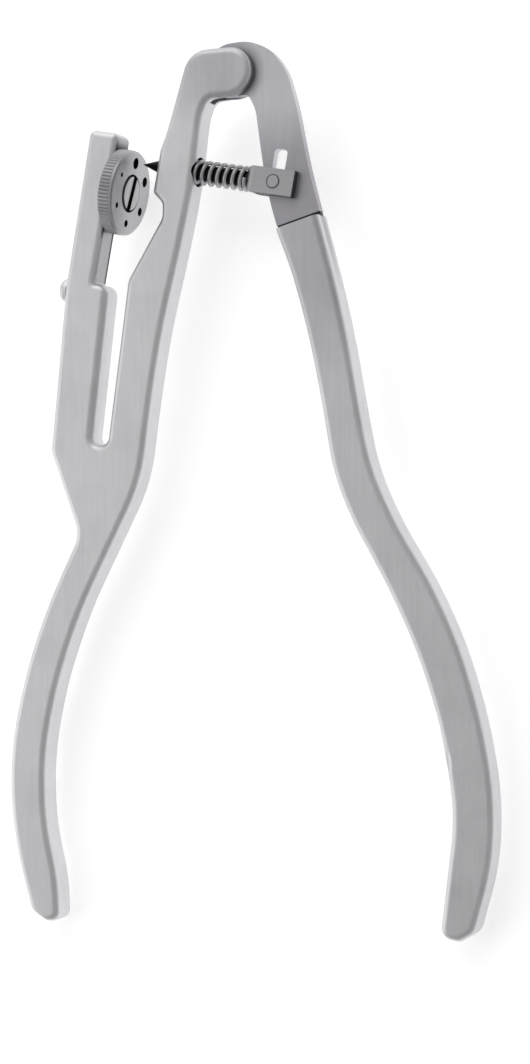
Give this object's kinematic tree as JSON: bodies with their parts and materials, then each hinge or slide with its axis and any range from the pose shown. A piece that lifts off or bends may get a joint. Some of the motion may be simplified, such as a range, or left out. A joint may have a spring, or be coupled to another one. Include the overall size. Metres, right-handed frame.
{
  "type": "hole punch pliers",
  "caption": "Spring-return plier punch with a conical punch, clevis plunger and rotary graduated anvil wheel, for cutting small round holes in thin rubber sheet.",
  "frame": {"origin": "on the hinge axis, in the plane of the two handles' flat back faces", "axes": "+Z is the plate normal and points up when the tool lies flat; +Y runs along the tool from the handle ends to the hinge; +X points from the fixed handle to the moving handle"},
  "size_m": [0.0992, 0.1693, 0.0164],
  "materials": {
    "satin_steel": "satin bead-blasted stainless steel, edges softened",
    "plunger_steel": "turned and milled stainless steel",
    "spring_steel": "bright drawn spring wire",
    "wheel_steel": "turned hardened stainless steel with a knurled rim",
    "screw_steel": "turned stainless steel"
  },
  "bodies": {
    "fixed_side": {"fixed_handle": "satin_steel", "hinge_pin": "satin_steel", "anvil_screw": "screw_steel", "anvil_washer": "screw_steel", "index_spring": "spring_steel", "index_stud": "screw_steel", "index_rivet": "satin_steel", "return_spring": "spring_steel"},
    "moving_side": {"moving_handle": "satin_steel"},
    "punch": {"punch_plunger": "plunger_steel", "clevis_pin": "plunger_steel"},
    "anvil": {"anvil_wheel": "wheel_steel"}
  },
  "joints": [
    {"name": "handle_squeeze", "type": "hinge", "parent": "fixed_side", "child": "moving_side", "pos_m": [0, 0, 0.0031], "axis": [0, 0, -1], "range_deg": [0, 4.55], "stiffness_Nm_per_rad": 0.94, "springref_deg": -4.58, "deforming": ["return_spring"]},
    {"name": "punch_slide", "type": "slide", "parent": "fixed_side", "child": "punch", "axis": [-0.9829, 0.184, 0], "range_m": [0, 0.00148], "deforming": ["return_spring"]},
    {"name": "anvil_turn", "type": "hinge", "parent": "fixed_side", "child": "anvil", "pos_m": [-0.02319, -0.02136, 0.0031], "axis": [0.9829, -0.184, 0], "continuous": true}
  ],
  "couplings": [
    {"joint": "punch_slide", "follows": "handle_squeeze", "m_per_rad": 0.018545}
  ]
}
